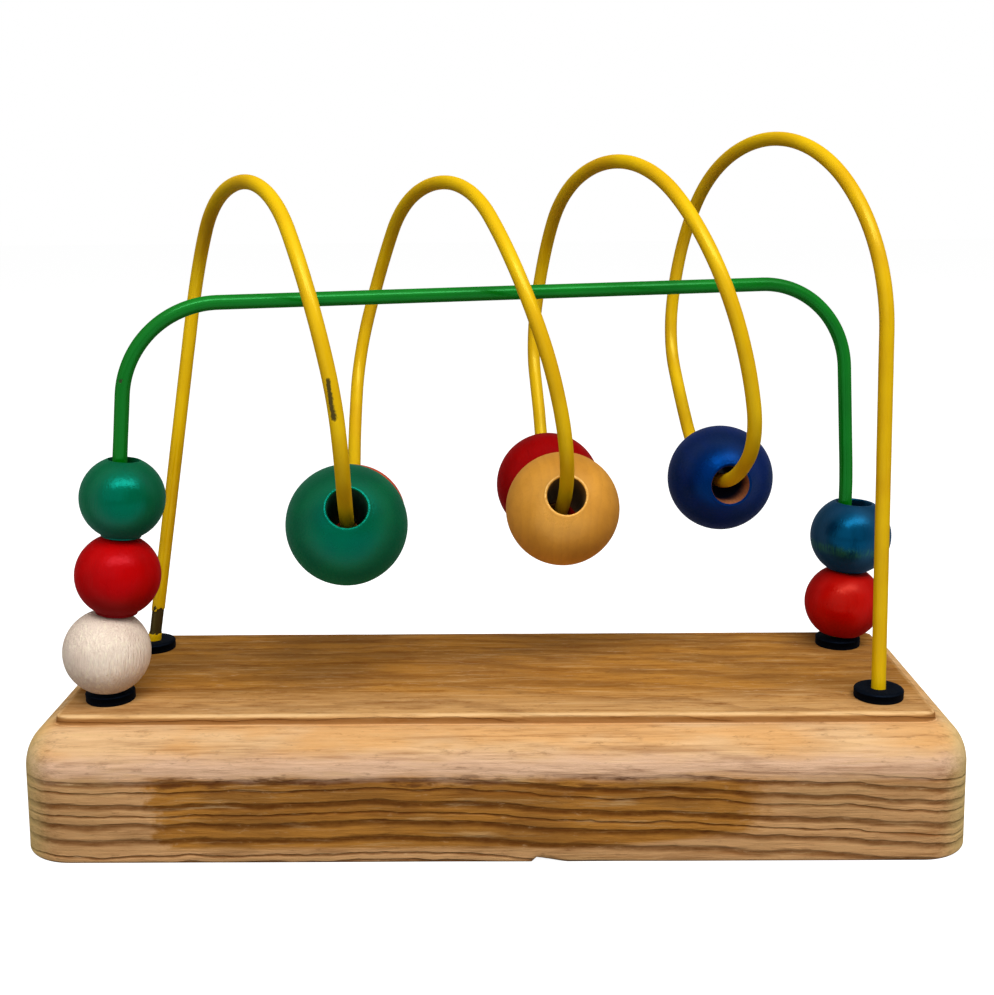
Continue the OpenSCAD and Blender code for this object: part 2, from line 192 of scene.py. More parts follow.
class Surface(Nodes):
    """The material of a piece. Colours are (r, g, b) as they are seen, or sockets."""

    def __init__(self, name):
        self.material = bpy.data.materials.new(name)
        super().__init__(self.material)
        coordinates = self.node("ShaderNodeTexCoord").outputs["Object"]
        # The place on the piece, in millimetres
        self.at = self.vector("MULTIPLY", coordinates, (1 / MM, 1 / MM, 1 / MM))
        self.x, self.y, self.z = self.node("ShaderNodeSeparateXYZ", {0: self.at}).outputs

    def add(self, a, b):
        return self.math("ADD", a, b)

    def times(self, a, *others):
        for b in others:
            a = self.math("MULTIPLY", a, b)
        return a

    def vector(self, operation, a, b=None):
        made = self.node("ShaderNodeVectorMath", {0: a, 1: b}, operation=operation)
        scalar = operation in ("LENGTH", "DISTANCE", "DOT_PRODUCT")
        return made.outputs["Value" if scalar else "Vector"]

    def noise(self, stretch, detail=2.0, rough=0.5):
        """Noise from 0 to 1, whose waves are about 1 / stretch millimetres long."""
        at = self.vector("MULTIPLY", self.at, stretch)
        inputs = {"Vector": at, "Scale": 1, "Detail": detail, "Roughness": rough}
        return self.node("ShaderNodeTexNoise", inputs).outputs["Fac"]

    def noise_along(self, value, stretch):
        """Noise that changes with one value only."""
        inputs = {"W": self.times(value, stretch), "Scale": 1, "Detail": 1}
        return self.node("ShaderNodeTexNoise", inputs, noise_dimensions="1D").outputs["Fac"]

    def frayed(self, stretch, most):
        """The place on the piece, shifted by up to most millimetres each way."""
        made = self.node("ShaderNodeTexNoise", {"Vector": self.at, "Scale": stretch})
        middle = self.vector("SUBTRACT", made.outputs["Color"], (0.5, 0.5, 0.5))
        return self.vector("ADD", self.at, self.vector("MULTIPLY", middle, (2 * most,) * 3))

    def rise(self, value, low, high):
        """0 below low, 1 above high and smooth between; the other way round if low > high."""
        inputs = {
            "Value": value, "From Min": min(low, high), "From Max": max(low, high),
            "To Min": 0 if low < high else 1, "To Max": 1 if low < high else 0,
        }
        made = self.node("ShaderNodeMapRange", inputs, interpolation_type="SMOOTHSTEP")
        return made.outputs["Result"]

    def scaled(self, value, low, high):
        """A share from 0 to 1 as a value from low to high."""
        return self.add(self.times(value, high - low), low)

    def blend(self, share, below, above, kind="MIX"):
        """The colour below, with the one above over it by a share."""
        below, above = (
            c if isinstance(c, bpy.types.NodeSocket) else srgb(*c) for c in (below, above)
        )
        inputs = {0: share, 6: below, 7: above}
        return self.node("ShaderNodeMix", inputs, data_type="RGBA", blend_type=kind).outputs[2]

    def marked(self, below, colour, value, low, high, most):
        """The colour below, under up to most of another as a value goes from low to high."""
        return self.blend(self.times(self.rise(value, low, high), most), below, colour)

    def clouded(self, stretch, light, dark):
        """A colour that drifts between a light and a dark one, and the noise that it follows."""
        cloud = self.noise(stretch)
        return self.blend(self.rise(cloud, 0.3, 0.7), light, dark), cloud

    def near_line(self, at, a, b, radius):
        """1 along the line from a to b and 0 outside the radius."""
        along = b - a
        share = self.vector("DOT_PRODUCT", self.vector("SUBTRACT", at, tuple(a)), tuple(along))
        share = self.math("DIVIDE", share, along.dot(along), clamp=True)
        line = self.node("ShaderNodeVectorMath", {0: along, "Scale": share}, operation="SCALE")
        foot = self.vector("ADD", line.outputs["Vector"], tuple(a))
        return self.rise(self.vector("DISTANCE", at, foot), radius, radius * 0.4)

    def in_bore(self, ball, past):
        """1 inside a bead's bore, up to past millimetres round it, and 0 outside."""
        away = self.vector("LENGTH", self.vector("MULTIPLY", self.at, (1, 1, 0)))
        return self.rise(away, ball.bore_r + past, ball.bore_r - 0.05)

    def finish(self, colour, roughness, height, lift, level, glint):
        """The shader: height is a bump of lift millimetres, and level and glint are the strength
        and the tint of its highlight.
        """
        facing = self.node("ShaderNodeLayerWeight").outputs["Facing"]
        matt = self.times(self.rise(facing, 0, RIM_FACING), RIM_ROUGHNESS)
        bump = self.node("ShaderNodeBump", {"Distance": lift * MM, "Height": height})
        shader = self.node("ShaderNodeBsdfPrincipled", {
            "Base Color": colour, "Roughness": self.add(roughness, matt),
            "Normal": bump.outputs["Normal"],
            "Specular IOR Level": level, "Specular Tint": srgb(*glint),
        })
        self.node("ShaderNodeOutputMaterial", {"Surface": shader.outputs["BSDF"]})
        return self.material


# Pine plank
# The pith runs along the plank, below it and in front of it
PITH_Y, PITH_Z = -60, -110
RING_W = 3.6
# Right of here the rings run down to the right
RING_TURN_X, RING_FALL = 2, 0.048
# The dark place where a label was: its ends, its foot and its top
LABEL_LEFT, LABEL_RIGHT = -99, 78
LABEL_LOW, LABEL_HIGH = 4.2, 26.6
PANEL_X, PANEL_Y = HALF_L - END_LEDGE, HALF_W - EDGE_R
STEP_TOP = TOP - STEP_H
ROUND_LOW = STEP_TOP - EDGE_R


class Pine(Surface):
    """Varnished pine, whose noises are long waves along its grain, which runs along x."""

    def __init__(self):
        super().__init__("pine_varnished")
        self.fibre = self.grained(0.07, 1.3, 4, 0.65)
        self.strand = self.grained(0.035, 0.5, 5, 0.7)
        self.mottle = self.grained(0.16, 0.55, 5, 0.75)
        self.streak = self.grained(0.012, 0.3, 4, 0.65)
        self.speck = self.grained(0.9, 1.1, 3, 0.7)
        self.tones = self.rise(self.grained(0.03, 0.09, 3), 0.38, 0.62)
        self.ragged_z = self.add(self.z, self.scaled(self.grained(0.05, 0.2, 4, 0.6), -3, 3))
        ragged = self.noise((0.2, 0.1, 0.3), 4, 0.65)
        self.ragged_x = self.add(self.x, self.scaled(ragged, -9, 9))
        self.places()

    def grained(self, along, across, detail, rough=0.5):
        return self.noise((along, across, across), detail, rough)

    def places(self):
        """The panel, the rounded edge below it, the front and the label's old place."""
        self.panel = self.rise(self.z, STEP_TOP + 0.15, STEP_TOP + 0.6)
        self.off_panel = self.math("SUBTRACT", 1, self.panel)
        low_edge = self.rise(self.ragged_z, ROUND_LOW - 1.5, ROUND_LOW + 3)
        self.rounded = self.times(low_edge, self.off_panel)
        self.front = self.rise(self.y, -HALF_W + 3, -HALF_W + 1)
        slant_x = self.add(self.ragged_x, self.times(self.z, 0.22))
        foot = self.add(LABEL_LOW, self.times(self.rise(self.x, 20, 80), 5))
        label_z = self.add(self.z, self.scaled(self.streak, -2.2, 2.2))
        self.label = self.times(
            self.front,
            self.rise(slant_x, LABEL_LEFT + 1, LABEL_LEFT + 6),
            self.rise(self.ragged_x, LABEL_RIGHT + 5, LABEL_RIGHT - 9),
            self.rise(self.math("SUBTRACT", label_z, foot), -0.8, 1.2),
            self.rise(self.ragged_z, LABEL_HIGH + 1.5, LABEL_HIGH - 1.5),
        )

    def toned(self, light, dark):
        """A colour that drifts between a light and a dark one along the plank."""
        return self.blend(self.tones, light, dark)

    def late_wood(self):
        """Growth rings, whose late wood darkens slowly and ends sharply."""
        away_y, away_z = self.add(self.y, -PITH_Y), self.add(self.z, -PITH_Z)
        reach = self.math("SQRT", self.add(self.times(away_y, away_y), self.times(away_z, away_z)))
        past_turn = self.math("MAXIMUM", self.add(self.x, -RING_TURN_X), 0)
        for value, most in (
            (self.noise_along(self.x, 0.012), 5),
            (self.noise_along(self.add(self.x, 900), 0.035), 2),
            (self.grained(0.05, 0.08, 3, 0.6), 2.6),
            (past_turn, RING_FALL),
            (self.fibre, 0.5),
        ):
            reach = self.add(reach, self.times(value, most))
        uneven_age = self.times(self.noise_along(reach, 0.13), 1.5)
        ring = self.math("FRACT", self.add(self.times(reach, 1 / RING_W), uneven_age))
        late = self.times(self.rise(ring, 0.42, 0.82), self.rise(ring, 1.0, 0.88))
        return self.times(late, self.scaled(self.mottle, 0.35, 1.45))

    def peach(self):
        """The rounded edge, pale peach partly of its own and partly as painted light, greyer near
        its foot.
        """
        low_round = self.rise(self.ragged_z, ROUND_LOW + 9, ROUND_LOW + 4)
        # Partly its own pale tone, partly painted light where it faces the lamp
        pale = self.toned((248, 206, 156), (244, 190, 128))
        return self.blend(low_round, pale, (244, 204, 172))

    def board(self):
        """The panel, paler towards the front."""
        near_front = self.rise(self.add(self.y, self.scaled(self.strand, -14, 14)), -12, -34)
        return self.blend(near_front, self.toned((206, 146, 66), (182, 130, 66)), (228, 178, 116))

    def ringed(self, late):
        """Early and late wood: plain, at the label's place, on the rounded edge, on the panel."""
        peach, board = self.peach(), self.board()
        early = self.toned((232, 182, 128), (214, 168, 116))
        early = self.blend(self.label, early, self.toned((198, 138, 62), (170, 118, 56)))
        early = self.blend(self.panel, self.blend(self.rounded, early, peach), board)
        dark = self.blend(self.label, (126, 80, 40), (96, 50, 12))
        dark = self.blend(self.rounded, dark, self.blend(0.88, dark, peach))
        dark = self.blend(self.panel, dark, self.blend(0.3, (124, 72, 22), board))
        return self.blend(self.times(late, self.scaled(self.panel, 0.9, 0.5)), early, dark)

    def blotted(self, colour):
        """Short dark and light blots that only the panel has."""
        blot = self.grained(0.08, 0.3, 5, 0.75)
        dark, light = self.times(self.panel, 0.5), self.times(self.panel, 0.45)
        colour = self.marked(colour, (150, 90, 34), blot, 0.54, 0.68, dark)
        return self.marked(colour, (230, 180, 112), blot, 0.44, 0.32, light)

    def stranded(self, colour):
        """Strands, mottling, fibres, long stains and specks."""
        brown = self.blend(self.panel, (128, 74, 28), (134, 74, 16))
        fine = self.blend(self.fibre, (255, 254, 250), (190, 168, 138))
        colour = self.marked(colour, brown, self.strand, 0.5, 0.72, 0.45)
        colour = self.marked(colour, (244, 206, 150), self.strand, 0.46, 0.28, 0.4)
        colour = self.marked(colour, (104, 62, 26), self.mottle, 0.55, 0.72, 0.4)
        colour = self.marked(colour, (246, 212, 168), self.mottle, 0.42, 0.26, 0.4)
        colour = self.blend(0.7, colour, fine, "MULTIPLY")
        colour = self.marked(colour, (136, 78, 22), self.streak, 0.54, 0.72, 0.45)
        return self.marked(colour, (96, 58, 28), self.speck, 0.68, 0.8, 0.4)

    def corners_toned_and_lit(self, colour):
        """The upright corners: a greenish tone of their own, made paler as painted light."""
        at_end = self.rise(self.math("ABSOLUTE", self.x), HALF_L - 12, HALF_L - 2)
        at_side = self.rise(self.math("ABSOLUTE", self.y), HALF_W - 30, HALF_W - 14)
        corner = self.times(at_end, self.off_panel, self.scaled(at_side, 0.2, 0.65))
        # Partly the corners' own greenish tone, partly painted light
        return self.blend(corner, colour, (240, 210, 140))

    def stepped(self, colour):
        """The bright arris, partly worn and partly a painted highlight, and painted shade on the
        wall of the step round the panel.
        """
        past_end = self.add(self.math("ABSOLUTE", self.x), -PANEL_X)
        past_side = self.add(self.math("ABSOLUTE", self.y), -PANEL_Y)
        # The arris is partly worn and partly a painted highlight
        arris_wear_and_highlight = self.times(
            self.rise(self.math("MAXIMUM", past_end, past_side), -2.4, -1.3),
            self.rise(self.z, TOP - 0.9, TOP - 0.3),
            self.rise(self.strand, 0.36, 0.54),
            self.scaled(self.rise(self.y, -PANEL_Y + 6, -PANEL_Y + 2), 0.25, 0.65),
        )
        # The step's dark wall is painted shade
        wall_shade_foot = self.rise(self.z, STEP_TOP - 0.2, STEP_TOP + 0.3)
        painted_wall_shade = self.times(wall_shade_foot, self.rise(self.z, TOP - 0.5, TOP - 1.2), 0.75)
        return self.blend(painted_wall_shade, self.blend(arris_wear_and_highlight, colour, (250, 208, 150)), (138, 86, 36))

    def smeared(self, colour):
        """Dark smears of old glue under the rounded edge."""
        smear = self.times(
            self.rise(self.noise((0.09, 0.3, 0.5), 4, 0.65), 0.5, 0.66),
            self.rise(self.z, ROUND_LOW - 5, ROUND_LOW - 1),
            self.rise(self.z, ROUND_LOW + 2.8, ROUND_LOW),
            self.front,
            self.rise(self.ragged_x, LABEL_LEFT, LABEL_LEFT + 3),
            self.rise(self.ragged_x, LABEL_RIGHT, LABEL_RIGHT - 20),
            0.85,
        )
        return self.blend(smear, colour, (88, 48, 22))

    def made(self):
        late = self.late_wood()
        colour = self.ringed(late)
        for wear in (self.blotted, self.stranded, self.corners_toned_and_lit, self.stepped, self.smeared):
            colour = wear(colour)
        sunk = self.times(late, self.scaled(self.rounded, -0.7, 0))
        height = self.add(sunk, self.times(self.add(self.fibre, self.mottle), 0.6))
        roughness = self.scaled(self.fibre, 0.36, 0.56)
        return self.finish(colour, roughness, height, 0.35, 0.06, (255, 220, 180))


# Paint, varnish, wire coats and plastic
class Paint(Surface):
    """Satin paint on a turned bead whose grain runs along its bore, z in the piece."""

    def __init__(self, name, colour, deep):
        super().__init__(name)
        self.deep = deep
        self.grain = self.noise((1.5, 1.5, 0.16), 3, 0.6)
        tint, _ = self.clouded((0.12, 0.12, 0.08), colour, deep)
        self.tint = self.marked(tint, deep, self.grain, 0.5, 0.75, 0.4)

    def painted_shade_below(self, most):
        """Painted shade: darkens the lower side, where less light falls."""
        painted_shade = [c * 0.35 for c in self.deep]
        self.tint = self.marked(self.tint, painted_shade, self.z, -1, -11, most)

    def worn_band(self, colour):
        """A ring below the middle, where another colour comes through."""
        worn = self.times(self.rise(self.z, -5.5, -3.2), self.rise(self.grain, 0.3, 0.7), 0.5)
        self.tint = self.marked(self.tint, colour, self.z, -0.6, -2.4, worn)

    def flecked_with_painted_glints(self, colour):
        """Bright grain painted as glints, with some bare wood between."""
        fleck = self.noise((1.1, 1.1, 0.35), 3, 0.6)
        self.tint = self.marked(self.tint, colour, fleck, 0.5, 0.66, 0.4)
        self.tint = self.marked(self.tint, (186, 152, 122), fleck, 0.42, 0.32, 0.2)

    def bare_bore(self, ball, depth_share, wood):
        """Leaves the bore unpainted: bare wood, darkened farther in by painted shade."""
        depth = ball.half * depth_share
        wood = self.blend(self.grain, wood, [c * 0.7 for c in wood])
        # Painted shade: the bare wood goes dark brown farther in
        inside = self.blend(self.rise(self.z, depth, depth * 0.3), wood, (24, 14, 8))
        self.tint = self.blend(self.in_bore(ball, 0.12), self.tint, inside)


def paint(
    ball, name, colour, deep, glint, level=0.25, relief=0.1,
    foot=0, band=None, flecks=None, bore=None,
):
    """The paint of a bead, from its colour and a deeper tone that it drifts to.

    glint tints the highlight, level is how strong that is, and relief how far the grain stands
    out. foot is how much painted shade darkens the lower side, band is a colour that comes
    through, flecks is the colour of bright grain painted on as glints, and bore is where painted
    shade starts to darken a bare bore, as a share of half of it, and the bore's wood colour.
    """
    s = Paint(name, colour, deep)
    if foot:
        s.painted_shade_below(foot)
    if band:
        s.worn_band(band)
    if flecks:
        s.flecked_with_painted_glints(flecks)
    if bore:
        s.bare_bore(ball, *bore)
    pore = s.noise((3.2, 3.2, 0.5))
    height = s.add(s.times(s.grain, 0.8), s.times(pore, 0.35))
    return s.finish(s.tint, s.scaled(s.grain, 0.16, 0.28), height, relief, level, glint)


def varnish(ball):
    """Bare orange-tan wood under varnish, its grain along the bore, whose dark brown is painted
    shade.
    """
    s = Surface("natural_varnished")
    grain = s.noise((0.9, 0.9, 0.07), 4, 0.6)
    tint, cloud = s.clouded((0.08, 0.08, 0.05), (218, 150, 50), (198, 132, 38))
    ring = s.math("FRACT", s.add(s.times(s.x, 0.32), s.times(cloud, 3)))
    late = s.times(s.rise(ring, 0.2, 0.9), s.rise(ring, 1, 0.9), 0.12)
    tint = s.blend(late, tint, (164, 98, 34))
    tint = s.marked(tint, (150, 90, 30), grain, 0.45, 0.8, 0.12)
    # Painted shade: the bore is dark brown
    tint = s.blend(s.in_bore(ball, 0.15), tint, (34, 16, 8))
    return s.finish(tint, s.scaled(grain, 0.2, 0.32), grain, 0.1, 1.0, (255, 232, 160))


def coating(name, colour, deep, glint, chips):
    """Glossy coat of a wire. Steel shows in its chips and where the mesh's bare value is 1."""
    s = Surface(name)
    dimple = s.noise((0.2, 0.2, 0.2), 1)
    dirt = s.noise((0.9, 0.9, 0.9), 4, 0.7)
    tint, _ = s.clouded((0.05, 0.05, 0.05), colour, deep)
    tint = s.marked(tint, [c * 0.55 for c in deep], dirt, 0.62, 0.78, 0.12)
    bare = s.rise(s.node("ShaderNodeAttribute", attribute_name="bare").outputs["Fac"], 0.35, 0.65)
    frayed = s.frayed(1.3, 0.45)
    for a, b, radius in chips:
        bare = s.math("MAXIMUM", bare, s.near_line(frayed, a, b, radius))
    tint = s.blend(bare, tint, s.blend(dimple, (52, 32, 18), (22, 12, 6)))
    roughness = s.add(s.scaled(dimple, 0.14, 0.24), s.times(bare, 0.3))
    height = s.add(s.times(dimple, 0.06), s.times(bare, -1))
    return s.finish(tint, roughness, height, 0.12, 0.5, glint)


def black_plastic():
    s = Surface("washer_black")
    speck = s.noise((1.1, 1.1, 1.1), 3)
    tint = s.blend(speck, (1, 3, 7), (6, 10, 17))
    return s.finish(tint, s.scaled(speck, 0.28, 0.4), speck, 0.08, 0.1, (110, 140, 190))


# Meshes
def piece(name, points, faces, material, place=None):
    """A smooth mesh object from points in millimetres."""
    mesh = bpy.data.meshes.new(name)
    mesh.from_pydata([Vector(p) * MM for p in points], [], faces)
    mesh.validate()
    mesh.shade_smooth()
    mesh.materials.append(material)
    made = bpy.data.objects.new(name, mesh)
    bpy.context.collection.objects.link(made)
    if place is not None:
        made.matrix_world = place
    return made


def settle(made, body, node):
    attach(made, body)
    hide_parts(node)


def looped(rows, columns, wrap_rows=False):
    """Faces of a grid of rows whose columns close, and whose rows close too if asked."""
    last = rows if wrap_rows else rows - 1
    return [
        (
            i * columns + k,
            i * columns + (k + 1) % columns,
            (i + 1) % rows * columns + (k + 1) % columns,
            (i + 1) % rows * columns + k,
        )
        for i in range(last)
        for k in range(columns)
    ]


def capped(rows, columns):
    """Faces of a grid of rows whose columns close, with a cap at each end."""
    first, last = range(columns), range((rows - 1) * columns, rows * columns)
    return looped(rows, columns) + [tuple(reversed(first)), tuple(last)]


def eased(corners, steps=4):
    """A profile whose corners, each with its own size, are rounded off."""
    made = []
    count = len(corners)
    for i, (point, size) in enumerate(corners):
        point = Vector(point)
        if size <= 0:
            made.append(point)
            continue
        back = (Vector(corners[i - 1][0]) - point).normalized() * size
        on = (Vector(corners[(i + 1) % count][0]) - point).normalized() * size
        for k in range(steps + 1):
            t = k / steps
            made.append(point + back * (1 - t) ** 2 + on * t * t)
    return made


def lathe(profile):
    """Points and faces of a closed profile of (radius, height) turned round z."""
    turn = 2 * math.pi / LATHE_SIDES
    points = [
        (r * math.cos(k * turn), r * math.sin(k * turn), h)
        for r, h in profile
        for k in range(LATHE_SIDES)
    ]
    return points, looped(len(profile), LATHE_SIDES, wrap_rows=True)


def uneven(point, scale, most):
    """A little inward wobble, from 0 to most, that changes over 1 / scale millimetres."""
    return most * (0.5 + 0.5 * noise.noise(Vector(point) * scale))


# Plank mesh
CHIP_FROM, CHIP_TO, CHIP_H = 10.5, 20.5, 1.9
# How far the chip goes in from the front and up from below
CHIP_DEEP, CHIP_LIFT = 1.6, 1.2
# How far the plank's ends lean in, up to where the rounded edge begins
END_LEAN = 0.8
BEVEL_STEPS, ROUND_STEPS, CORNER_STEPS = 5, 18, 20
# Rows of the edge, from its bottom bevel up to the rounded edge
SIDE_ROWS = (1.6, 2.4, 4, 7, 10, 14, 18, 22)
# Rows of the step's foot as (in from the rounded edge, up from the foot)
FOOT_ROWS = ((-0.35, -0.25), (-0.05, -0.1), (0.05, 0.4), (0.1, 1.1))
# Rows of the worn arris as (in from the rounded edge, down from the top)
ARRIS_ROWS = ((0.2, 1), (0.35, 0.6), (0.6, 0.3), (0.95, 0.1), (1.4, 0.02), (1.9, 0))
# Rows of the flat top, out from the middle of a corner's round
TOP_ROWS = (1.4, 0.9, 0.5)
# Waves per millimetre and depth of the wobble of the sides and of the step
SIDE_WOBBLE, STEP_WOBBLE = (0.035, 0.22), (0.11, 0.3)


def quarter(steps):
    """Angles from 0 to a right one."""
    return [math.pi / 2 * k / steps for k in range(steps + 1)]


def edge_profile():
    """The plank's edge as (out, up) from the middle of a corner's round, from below to the top."""
    inner = CORNER_R - EDGE_R
    rows = [(CORNER_R - 5, 0), (CORNER_R - 2, 0)]
    for a in quarter(BEVEL_STEPS):
        rows.append((
            CORNER_R - BOTTOM_BEVEL * (1 - math.sin(a)), BOTTOM_BEVEL * (1 - math.cos(a))
        ))
    rows += [(CORNER_R, up) for up in SIDE_ROWS]
    for a in quarter(ROUND_STEPS):
        rows.append((inner + EDGE_R * math.cos(a), ROUND_LOW + EDGE_R * math.sin(a)))
    # The rounded edge ends in a shallow groove round the step
    rows[-1] = (inner + 0.7, rows[-2][1] + 0.02)
    rows += [(inner - inset, STEP_TOP + up) for inset, up in FOOT_ROWS]
    rows += [(inner - inset, TOP - down) for inset, down in ARRIS_ROWS]
    return rows + [(out, TOP) for out in TOP_ROWS]


def plank_outline():
    """Points of the rectangle through the corners' middles, each with its way out."""
    x, y = HALF_L - CORNER_R, HALF_W - CORNER_R
    sides = []
    for centre, start, along, length in (
        ((x, -y), -90, (0, 1), 2 * y), ((x, y), 0, (-1, 0), 2 * x),
        ((-x, y), 90, (0, -1), 2 * y), ((-x, -y), 180, (1, 0), 2 * x),
    ):
        for k in range(CORNER_STEPS):
            a = math.radians(start + 90 * k / CORNER_STEPS)
            sides.append((Vector((*centre, 0)), Vector((math.cos(a), math.sin(a), 0))))
        out = Vector((along[1], -along[0], 0))
        count = round(length / PLANK_STEP)
        for k in range(count):
            at = Vector((*centre, 0)) + Vector((*along, 0)) * (length * k / count)
            sides.append((at, out))
    return sides


def end_shift(out, up):
    """How much farther out a row stands at the plank's ends than the rows of its sides do."""
    wider, inner = EDGE_R - END_LEDGE, CORNER_R - EDGE_R
    across = min(1, max(0, (out - inner) / EDGE_R))
    shift = wider * (1 - across) if up > ROUND_LOW else 0
    return shift - END_LEAN * min(1, up / ROUND_LOW) * across


def chipped(p, up):
    """A point of the plank, moved where a chip has come off under its front edge."""
    if p.y >= -HALF_W + 2.5 or not CHIP_FROM < p.x < CHIP_TO or up >= CHIP_H:
        return p
    share = (CHIP_TO - p.x) / (CHIP_TO - CHIP_FROM) * (1 - up / CHIP_H)
    return p + Vector((0, CHIP_DEEP, CHIP_LIFT)) * share


def plank():
    outline, profile = plank_outline(), edge_profile()
    points = []
    for out, up in profile:
        for centre, way in outline:
            p = centre + way * out + Vector((end_shift(out, up) * way.x, 0, up))
            p -= way * uneven((p.x, p.y, up * 2), *SIDE_WOBBLE)
            if STEP_TOP < up < TOP - 0.05:
                p -= way * uneven((p.x, p.y, 7), *STEP_WOBBLE)
            points.append(chipped(p, up))
    made = piece("plank", points, capped(len(profile), len(outline)), Pine().made())
    settle(made, "frame", "base")


# Wires
def unit(v):
    return v.normalized()


def above(p):
    return Vector(p) + Vector((0, 0, TOP))


def free(*places):
    """Nodes of a wire whose directions come from their neighbours."""
    return [(above(place), None) for place in places]


def dip_nodes(dip):
    """The two ends of a dip's true arc, each with the wire's direction there."""
    low, r, heading, reach = dip
    h = math.radians(heading)
    back, up = Vector((-math.sin(h), math.cos(h), 0)), Vector((0, 0, 1))
    nodes = []
    for degrees in reach:
        a = math.radians(degrees)
        place = above(low) + r * (math.sin(a) * back + (1 - math.cos(a)) * up)
        nodes.append((place, math.cos(a) * back + math.sin(a) * up))
    return nodes


def yellow_nodes():
    start, end = LEANS["yellow_left"], LEANS["yellow_right"]
    return [
        (FEET["yellow_left"] + start, unit(start)),
        *free(HUMP_1, FRONT_1), *dip_nodes(DIP_1),
        *free(REAR_1, HUMP_2, FRONT_2), *dip_nodes(DIP_2),
        *free(REAR_2, HUMP_3, FRONT_3), *dip_nodes(DIP_3),
        *free(REAR_3, HUMP_4),
        (FEET["yellow_right"] + end, -unit(end)),
    ]


def green_nodes():
    left = FEET["green_left"] + LEANS["green_left"]
    right = FEET["green_right"] + GREEN_RIGHT_CORNER
    low = FEET["green_right"] + LEANS["green_right"]
    bend = FEET["green_right"] + GREEN_RIGHT_BEND
    left_dir, bar, upper = unit(LEANS["green_left"]), unit(right - left), unit(right - bend)
    left_reach = ARCH_BEND_R * math.tan(left_dir.angle(bar) / 2)
    right_reach = ARCH_BEND_R * math.tan(bar.angle(-upper) / 2)
    return [
        (left - left_reach * left_dir, left_dir), (left + left_reach * bar, bar),
        (right - right_reach * bar, bar), (right - right_reach * upper, -upper),
        (bend, -upper), (low, -unit(LEANS["green_right"])),
    ]


def directed(nodes):
    """Gives each free node the direction of the circle through it and its neighbours."""
    made = []
    for i, (p, way) in enumerate(nodes):
        if way is None:
            a, b = p - nodes[i - 1][0], nodes[i + 1][0] - p
            way = unit(a / a.dot(a) + b / b.dot(b))
        made.append((p, way))
    return made


def arc_rings(start, way, end):
    """Rings of the arc that leaves start along a way and ends at end, without its last one."""
    c = end - start
    n = unit(c - c.dot(way) * way)
    r = c.dot(c) / (2 * c.dot(n))
    middle = start + r * n
    turn = 2 * math.atan2(c.dot(n), c.dot(way))
    count = max(1, math.ceil(turn / WIRE_TURN))
    rings = []
    for k in range(count):
        a = turn * k / count
        place = middle + r * (math.sin(a) * way - math.cos(a) * n)
        rings.append((place, math.cos(a) * way + math.sin(a) * n))
    return rings


def bent_rings(nodes):
    """Rings along pairs of arcs that join the nodes without a kink."""
    rings = []
    for (a, ta), (b, tb) in zip(nodes, nodes[1:]):
        if ta.dot(tb) > 0.999999:
            rings.append((a, ta))
            continue
        # The arcs meet halfway between p and q, which lie equally far along the two directions
        v, t, k = b - a, ta + tb, 2 * (1 - ta.dot(tb))
        d = (math.sqrt(v.dot(t) ** 2 + k * v.dot(v)) - v.dot(t)) / k
        p, q = a + d * ta, b - d * tb
        rings += arc_rings(a, ta, (p + q) / 2) + arc_rings((p + q) / 2, unit(q - p), b)
    return rings + [nodes[-1]]


def leg_rings(foot, top, step):
    """Rings from the foot of a leg in its socket up to just below its top."""
    way = unit(top - foot)
    length = (top - foot).length + SOCKET_DEEP
    count = round(length / step)
    return [(foot + way * (length * k / count - SOCKET_DEEP), way) for k in range(count)]


def wire_rings(colour, nodes, left_step):
    """Rings of a whole wire, up its left leg, through its nodes and down its right leg."""
    left, right = FEET[colour + "_left"], FEET[colour + "_right"]
    down = reversed(leg_rings(right, nodes[-1][0], LEG_STEP))
    return (
        leg_rings(left, nodes[0][0], left_step) + bent_rings(nodes)
        + [(centre, -way) for centre, way in down]
    )


# The coat has come off the rear left leg above a ring of it that is left on the washer
BARE_FROM, BARE_TO, COAT = 5.4, 13.8, 0.22
# The bare stretch lies nearer to that leg's foot than this, and how ragged its border is
BARE_REACH, BARE_RAGGED = 20, 1.6
# Waves per millimetre and depth of the coat's own unevenness
COAT_WOBBLE = (0.12, 0.06)


def bare_at(point):
    """1 where the coat of the yellow wire is gone, with a ragged border."""
    if (point - FEET["yellow_left"]).length > BARE_REACH:
        return 0
    ragged = BARE_RAGGED * noise.noise(point * 0.45)
    return 1 if BARE_FROM + 0.4 * ragged < point.z - TOP < BARE_TO + ragged else 0


def wire(name, rings, material):
    """A round wire through rings, with a little more and less coat from place to place."""
    side = unit(rings[0][1].orthogonal())
    points, bare = [], []
    for centre, way in rings:
        side = unit(side - side.dot(way) * way)
        other = way.cross(side)
        for k in range(WIRE_SIDES):
            turn = 2 * math.pi * k / WIRE_SIDES
            out = math.cos(turn) * side + math.sin(turn) * other
            gone = bare_at(centre + out * WIRE_R)
            lost = uneven(centre + out * WIRE_R, *COAT_WOBBLE) + gone * COAT
            points.append(centre + out * (WIRE_R - lost))
            bare.append(gone)
    made = piece(name, points, capped(len(rings), WIRE_SIDES), material)
    made.data.attributes.new("bare", "FLOAT", "POINT").data.foreach_set("value", bare)
    return made


